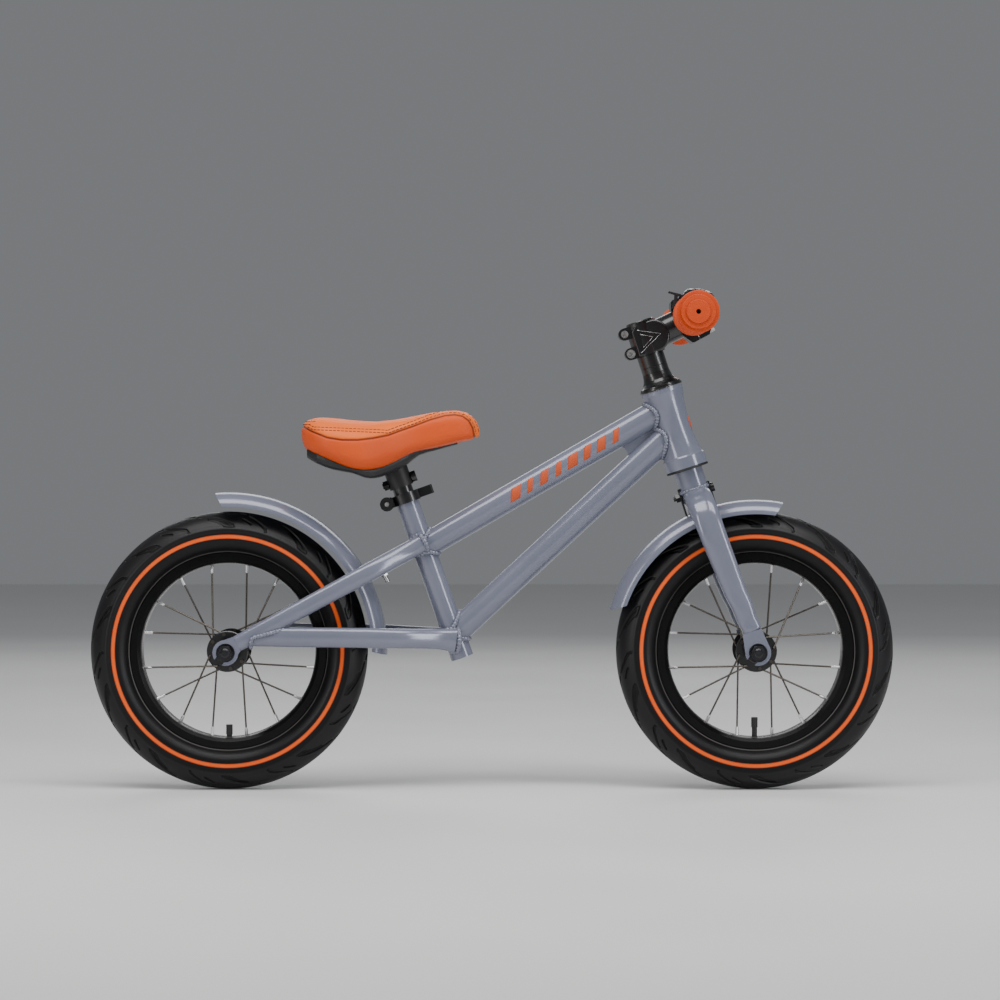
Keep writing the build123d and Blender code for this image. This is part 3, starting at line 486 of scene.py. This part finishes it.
saddle = {
    "voxel": 0.0024, "shrink": 0.0005,
    "pressure": 2.2, "cap": 0.0018, "frames": 14, "stretch": 18, "shear": 10, "bend": 2.5,
    "seam": [(-240, 402), (-205.8, 398), (-194.8, 392.5), (-178.3, 385.9), (-161.7, 383.4), (-145.2, 383.4),
             (-128.7, 385.4), (-112.2, 388.9), (-101.2, 393.2), (-84.7, 399.1), (-68.2, 405.8),
             (-51.6, 410.8), (-40.6, 411.8), (-31.8, 410.0), (-24.6, 404.6), (-20.4, 395.8), (-19.0, 387),
             (-18.4, 376)],  # x, z in mm, from the back to under the nose
    "refine": (0.012, 0.006, 0.0034),
    "groove": 0.0014, "grooveHalf": 0.0012, "puff": 0.0006, "puffHalf": 0.006,
    "stitchLength": 0.0030, "stitchGap": 0.0043, "thread": 0.00045, "rows": (0.0022, 0.0052),
    "rowFrom": -0.2065, "rowAbove": 0.3865,
    "backHeight": 0.3984, "backWidth": 0.088, "backSteps": 22,
}


def seamSide(seam, x, z):  # signed distance from the seam seen from the side, positive on the top panel
    best, sign = 1e9, 1.0
    for (x0, z0), (x1, z1) in zip(seam, seam[1:]):
        dx, dz = x1 - x0, z1 - z0
        t = min(max(((x - x0) * dx + (z - z0) * dz) / (dx * dx + dz * dz), 0.0), 1.0)
        gx, gz = x - x0 - dx * t, z - z0 - dz * t
        gap = math.hypot(gx, gz)
        if gap < best:
            best, sign = gap, 1.0 if dx * gz - dz * gx > 0 else -1.0
    return best * sign


def leather():
    f = Finish("saddleLeather")
    where = f.place()
    seam = f.attribute("seam")  # metres, positive on the top panel
    cloud = f.noise(where, 26, 4)
    pebble = f.cells(where, 900, "SMOOTH_F1")
    crease = f.noise(where, 620, 4, 0.6)
    # painted light and shade: the same leather is painted lighter on the top panel and darker on the side
    # panels, as light from above falls on them
    top = f.blend(cloud, (0.83, 0.135, 0.012), (0.9, 0.175, 0.02))
    side = f.blend(cloud, (0.62, 0.07, 0.008), (0.7, 0.09, 0.012))
    panel = f.spread(seam, -0.0006, 0.0006, 0, 1)
    near = f.node("ShaderNodeMath", {"operation": "ABSOLUTE"}, {0: seam})
    line = f.spread(near, 0.0004, 0.0015, 1, 0)
    colour = f.blend(panel, side, top)
    f.set(Base_Color=f.blend(line * 0.85, colour, (0.07, 0.012, 0.006)),
          Roughness=f.spread(crease, 0.3, 0.7, 0.46, 0.6),
          Normal=f.bump(crease * 0.6 - pebble, 0.0002, 0.4))
    return f.set(Specular_IOR_Level=0.26).material


def swell(body):  # blow the closed form up a little as cloth, no further than the cap
    s = saddle
    rest = [v.co.copy() for v in body.data.vertices]
    cloth = body.modifiers.new("padding", "CLOTH")
    setup = cloth.settings
    setup.quality, setup.mass = 5, 0.25
    setup.tension_stiffness = setup.compression_stiffness = s["stretch"]
    setup.shear_stiffness, setup.bending_stiffness = s["shear"], s["bend"]
    setup.use_pressure, setup.uniform_pressure_force = True, s["pressure"]
    setup.effector_weights.gravity = 0
    scene = bpy.context.scene
    for moment in range(1, s["frames"] + 1):
        scene.frame_set(moment)
    graph = bpy.context.evaluated_depsgraph_get()
    grown = [v.co.copy() for v in body.evaluated_get(graph).data.vertices]
    body.modifiers.remove(cloth)
    scene.frame_set(1)
    for v, a, b in zip(body.data.vertices, rest, grown):
        move = b - a
        v.co = a + move * min(1.0, s["cap"] / max(move.length, 1e-9))


def soften(bm, turns):
    for turn in range(turns):
        bmesh.ops.smooth_vert(bm, verts=bm.verts, factor=0.4,
                              use_axis_x=True, use_axis_y=True, use_axis_z=True)


def makeSaddle(finish, threadFinish):
    s = saddle
    bm = bmesh.new()
    for node in ("saddle_foam", "saddle_cover"):
        bm.from_mesh(nodes[node].data)
    bmesh.ops.remove_doubles(bm, verts=bm.verts, dist=1e-6)
    mesh = bpy.data.meshes.new("saddleForm")
    bm.to_mesh(mesh)
    bm.free()
    form = bpy.data.objects.new("saddleForm", mesh)
    bpy.context.scene.collection.objects.link(form)
    remesh = form.modifiers.new("voxels", "REMESH")
    remesh.mode, remesh.voxel_size = "VOXEL", s["voxel"]
    graph = bpy.context.evaluated_depsgraph_get()
    solid = bpy.data.meshes.new_from_object(form.evaluated_get(graph))
    form.modifiers.clear()
    form.data = solid
    bm = bmesh.new()
    bm.from_mesh(solid)
    keepOutside(bm)
    soften(bm, 2)
    bm.normal_update()
    for v in bm.verts:
        v.co -= v.normal * s["shrink"]
    bm.to_mesh(solid)
    bm.free()
    swell(form)
    bm = bmesh.new()
    bm.from_mesh(form.data)
    bpy.data.objects.remove(form)
    soften(bm, 2)
    seam = [(x * mm, z * mm) for x, z in s["seam"]]
    for reach in s["refine"]:  # finer mesh towards the seam
        close = {v for v in bm.verts if abs(seamSide(seam, v.co.x, v.co.z)) < reach}
        near = [e for e in bm.edges if e.verts[0] in close and e.verts[1] in close]
        bmesh.ops.subdivide_edges(bm, edges=near, cuts=1, use_grid_fill=True, smooth=0.6)
    bmesh.ops.triangulate(bm, faces=[f for f in bm.faces if len(f.verts) > 4])
    bm.normal_update()
    layer = bm.verts.layers.float.new("seam")
    for v in bm.verts:
        gap = seamSide(seam, v.co.x, v.co.z)
        v[layer] = gap
        dip = math.exp(-(gap / s["grooveHalf"]) ** 2) * s["groove"]
        rise = math.exp(-((abs(gap) - s["puffHalf"] * 0.6) / s["puffHalf"]) ** 2) * s["puff"]
        v.co += v.normal * (rise - dip)
    shape = BVHTree.FromBMesh(bm)
    cover = toPiece("saddlePad", bm, finish, "seat", ("saddle_cover", "saddle_foam"))
    sewSaddle(shape, seam, threadFinish)
    return cover


def keepOutside(bm):  # drop any loose inner skin the remesh left
    bm.verts.ensure_lookup_table()
    start = max(bm.verts, key=lambda v: v.co.z)
    seen, front = {start}, [start]
    while front:
        v = front.pop()
        for e in v.link_edges:
            w = e.other_vert(v)
            if w not in seen:
                seen.add(w)
                front.append(w)
    bmesh.ops.delete(bm, geom=[v for v in bm.verts if v not in seen], context="VERTS")


def sewSaddle(shape, seam, finish):
    s = saddle
    bm = bmesh.new()
    flat = [Vector((x, 0, z)) for x, z in seam if x > s["rowFrom"] and z > s["rowAbove"]]
    line = evenSteps(flat, s["stitchGap"])
    for row in s["rows"]:
        for hand in (-1, 1):
            spots = []
            for i, p in enumerate(line):
                a, b = line[max(i - 1, 0)], line[min(i + 1, len(line) - 1)]
                along = (b - a).normalized()
                spot = p + Vector((-along.z, 0, along.x)) * row
                spots.append(shape.ray_cast(Vector((spot.x, hand * 0.2, spot.z)), Vector((0, -hand, 0))))
            stitchRow(bm, spots)
        across = [(i / s["backSteps"] - 0.5) * s["backWidth"] for i in range(s["backSteps"] + 1)]
        height = s["backHeight"] + row
        stitchRow(bm, [shape.ray_cast(Vector((-0.3, y, height)), Vector((1, 0, 0))) for y in across])
    toPiece("saddleStitching", bm, finish, "seat")


def stitchRow(bm, spots):  # a stitch between each two neighbours that lie on the leather
    s = saddle
    spots = [(hit, normal) for hit, normal, face, gap in spots if hit]
    for (p, n), (q, m) in zip(spots, spots[1:]):
        if (q - p).length < s["stitchGap"] * 2.6:
            stitch(bm, p, q, n, s["stitchLength"] / s["stitchGap"], s["thread"])


def stitch(bm, p, q, normal, share, thread):
    along = (q - p).normalized()
    out = (normal - along * normal.dot(along)).normalized()
    side = along.cross(out)
    turn = Matrix((side, out, along)).transposed().to_4x4()
    length = (q - p).length * share
    spot = Matrix.Translation(p.lerp(q, 0.5) + out * thread * 0.05)
    bmesh.ops.create_cone(bm, cap_ends=True, segments=6, radius1=thread, radius2=thread, depth=length,
                          matrix=spot @ turn)


weld = {
    "radius": 2.9, "step": 0.8, "ripple": 3.6, "swell": 0.36, "proud": 0.5,  # mm, then shares
    # name, node met, start, end, half height, half width, bead radius: in mm, on the left side
    "limbs": [("seatStayWeld", "seat_tube", (-106.9, 24.6, 254.0), (-76.1, 11.5, 270.6), 10.2, 9.0, 3.1),
              ("chainStayWeld", "seat_tube", (-75.0, 25.4, 166.2), (-38.5, 11.9, 163.6), 12.2, 9.0, 3.1),
              ("stayJoinWeld", "seat_stay", (-200.0, 48.2, 168.9), (-262.0, 50.1, 168.9), 10.6, 7.5, 2.7),
              ("bridgeWeld", "seat_stay", (-124.0, 20.0, 245.0), (-124.0, 50.0, 245.0), 6.5, 6.5, 2.1)],
    "crown": {"above": -4, "half": 16.1, "reach": 21.2, "radius": 2.6},
}


def meetingLine(target, start, heading, up, halfUp, halfSide, reach, lift, count=72):
    heading = heading.normalized()
    up = (up - heading * up.dot(heading)).normalized()
    side = heading.cross(up)
    line = []
    for k in range(count):
        a = math.tau * k / count
        spot = start + up * math.cos(a) * halfUp + side * math.sin(a) * halfSide
        hit, normal, face, gap = target.ray_cast(spot, heading, reach * 1.6)
        line.append(hit + normal * lift if hit and gap < reach else spot + heading * reach)
    return line


def tube(name, body, points, finish, radius, closed, wave=None):  # a round line through the points
    curve = bpy.data.curves.new(name, "CURVE")
    curve.dimensions, curve.bevel_depth, curve.bevel_resolution = "3D", radius, 3
    curve.use_fill_caps = True
    spline = curve.splines.new("POLY")
    spline.points.add(len(points) - 1)
    for i, (target, p) in enumerate(zip(spline.points, points)):
        target.co = (*p, 1)
        target.radius = wave(i) if wave else 1.0
    spline.use_cyclic_u = closed
    holder = bpy.data.objects.new(name, curve)
    bpy.context.scene.collection.objects.link(holder)
    graph = bpy.context.evaluated_depsgraph_get()
    mesh = bpy.data.meshes.new_from_object(holder.evaluated_get(graph))
    bpy.data.objects.remove(holder)
    return dressPiece(name, mesh, finish, body)


def weldBead(name, body, line, finish, radius):
    w = weld
    points = evenSteps(line, w["step"] * mm, True)

    def ripple(i):
        return 1 - w["swell"] + w["swell"] * abs(math.sin(math.pi * i * w["step"] / w["ripple"]))

    return tube(name, body, points, finish, radius * mm, True, ripple)


def joinWelds(finish):
    up = Vector((0, 0, 1))
    for name, (back, ahead) in zip(("topTube", "downTube"), tubeEnds.values()):
        run = (ahead - back).normalized()
        for end, node, start, heading, reach in (("Rear", "seat_tube", back + run * 0.06, -run, 0.06),
                                                 ("Front", "head_tube", ahead - run * 0.09, run, 0.09)):
            line = meetingLine(tree(node), start, heading, up, tubeRadius, tubeRadius, reach,
                               weld["proud"] * weld["radius"] * mm)
            weldBead(name + "Weld" + end, "frame", line, finish, weld["radius"])
    for hand, word in ((1, "Left"), (-1, "Right")):
        for name, node, start, end, halfUp, halfSide, radius in weld["limbs"]:
            target = tree(node if node in nodes else node + "_" + word.lower())
            a, b = (Vector((x, hand * y, z)) * mm for x, y, z in (start, end))
            line = meetingLine(target, a, b - a, up, halfUp * mm, halfSide * mm, (b - a).length,
                               weld["proud"] * radius * mm)
            weldBead(name + word, "frame", line, finish, radius)
    c = weld["crown"]
    line = meetingLine(tree("fork_crown"), inSteering(0, 0, c["above"]), -headUp, headFront,
                       c["half"] * mm, c["half"] * mm, c["reach"] * mm, 0.0)
    weldBead("crownWeld", "steering", line, finish, c["radius"])


graphic = {
    "start": 0.118, "pitch": 0.0181, "width": 0.0125, "half": 0.0068, "slant": 0.0042,
    "lift": 0.00012, "thick": 0.00008, "turn": 0.05,
    "shares": (1.0, 0.55, 0.8, 0.55, 1.0, 0.7, 0.9, 0.6),  # how much of the width each bar has
}


def makeGraphic(finish):
    g = graphic
    back, ahead = tubeEnds["top_tube"]
    run = (ahead - back).normalized()
    up = Vector((0, -1, 0)).cross(run)
    up = up if up.z > 0 else -up
    radius = tubeRadius + g["lift"]
    bm = bmesh.new()
    for hand in (-1, 1):
        out = Vector((0, hand, 0))
        for bar, share in enumerate(g["shares"]):
            made = bmesh.ops.create_grid(bm, x_segments=4, y_segments=14, size=0.5)
            for v in made["verts"]:
                across, height = v.co.x * g["width"] * share, v.co.y * 2 * g["half"]
                along = g["start"] + bar * g["pitch"] + across + g["slant"] * (v.co.y * 2)
                angle = height / radius + g["turn"]
                v.co = back + run * along + out * math.cos(angle) * radius + up * math.sin(angle) * radius
    bmesh.ops.solidify(bm, geom=bm.faces[:], thickness=g["thick"])
    toPiece("topTubeGraphic", bm, finish, "frame")


inlay = {
    "outer": [(-6.0, 160.2), (17.4, 148.9), (-9.4, 135.2)],  # forward, up in mm
    "inner": [(-4.4, 154.8), (8.4, 148.2), (-5.4, 140.2)],
    "side": 16.55, "radius": 0.00042,
}


def makeInlay(finish):  # two thin bright lines in a V on each side of the stem
    for hand, word in ((1, "Left"), (-1, "Right")):
        for part in ("outer", "inner"):
            line = [inSteering(n, hand * inlay["side"], s) for n, s in inlay[part]]
            tube("stemInlay" + part.title() + word, "steering", line, finish, inlay["radius"], False)


badge = {"forward": 18.45, "up": 47, "halfSide": 0.0062, "halfUp": 0.0085, "proud": 0.0009, "bend": 0.0186}


def makeBadge(finish):
    b = badge
    spot = inSteering(b["forward"], 0, b["up"])
    bm = bmesh.new()
    made = bmesh.ops.create_uvsphere(bm, u_segments=32, v_segments=16, radius=1.0)
    for v in made["verts"]:
        side, rise, proud = v.co.x * b["halfSide"], v.co.y * b["halfUp"], v.co.z * b["proud"]
        bend = side * side / (2 * b["bend"])
        v.co = spot + Vector((0, side, 0)) + headUp * rise + headFront * (proud - bend)
    toPiece("headBadge", bm, finish, "frame")


def layFloor():
    bm = bmesh.new()
    bmesh.ops.create_grid(bm, x_segments=8, y_segments=8, size=6.0)
    f = Finish("paleFloor")
    where = f.place()
    cloud = f.noise(where, 3, 4)
    f.set(Base_Color=f.blend(cloud, (0.70, 0.70, 0.70), (0.76, 0.76, 0.755)),
          Roughness=f.spread(cloud, 0.3, 0.7, 0.5, 0.65))
    floor = toPiece("studioFloor", bm, f.material, None)


placeCamera()
lightStudio()
print("camera and studio placed")

paintFinish, metalFinish, plasticFinish = framePaint(), blackMetal(), blackPlastic()
rubberFinish, stripeFinish, gripFinish = tyreRubber(), stripeRubber(), gripRubber()
plainRubber = softRubber()
brightSteel = steel("brightSteel", (0.62, 0.61, 0.6), (0.48, 0.47, 0.46), 0.3)
darkSteel = steel("darkSteel", (0.07, 0.07, 0.075), (0.035, 0.035, 0.04), 0.34)
wireFinish, rimFinish, leatherFinish = spokeSteel(), rimBlack(), leather()
threadFinish = softRubber("darkThread", (0.03, 0.006, 0.003), (0.06, 0.012, 0.006))
graphicFinish = softRubber("orangeGraphic", (0.46, 0.058, 0.008), (0.54, 0.076, 0.012))
finishes = {
    "frame_paint": paintFinish, "black_metal": metalFinish, "black_alloy": metalFinish,
    "black_plastic": plasticFinish,
    "tyre_rubber": rubberFinish, "tyre_stripe": stripeFinish, "black_rubber": plainRubber,
    "steel": brightSteel, "dark_steel": darkSteel, "grip_rubber": gripFinish,
    "saddle_leather": leatherFinish, "foam": plainRubber,
}
tubePaints = {node: framePaint(node + "Paint", back, (ahead - back).normalized())
              for node, (back, ahead) in tubeEnds.items()}
slots = {s["node"]: s["material_slot"] for s in frame["record"]["subparts"]}
for node, holder in nodes.items():
    finish = finishes[slots[node]]
    if node in tubePaints:
        finish = tubePaints[node]
    elif node.endswith("_spokes"):
        finish = wireFinish
    elif node.endswith("_rim"):
        finish = rimFinish
    for place in holder.material_slots:
        place.material = finish
print("finishes set on", len(nodes), "nodes")

makeTyre("frontTyreTread", "front_wheel", "front_tyre", frontHub, rubberFinish)
makeTyre("rearTyreTread", "rear_wheel", "rear_tyre", rearHub, rubberFinish)
print("tyres made")
makeSaddle(leatherFinish, threadFinish)
print("saddle made")
joinWelds(paintFinish)
makeGraphic(graphicFinish)
makeBadge(graphicFinish)
makeInlay(brightSteel)
print("welds and graphics made")
layFloor()
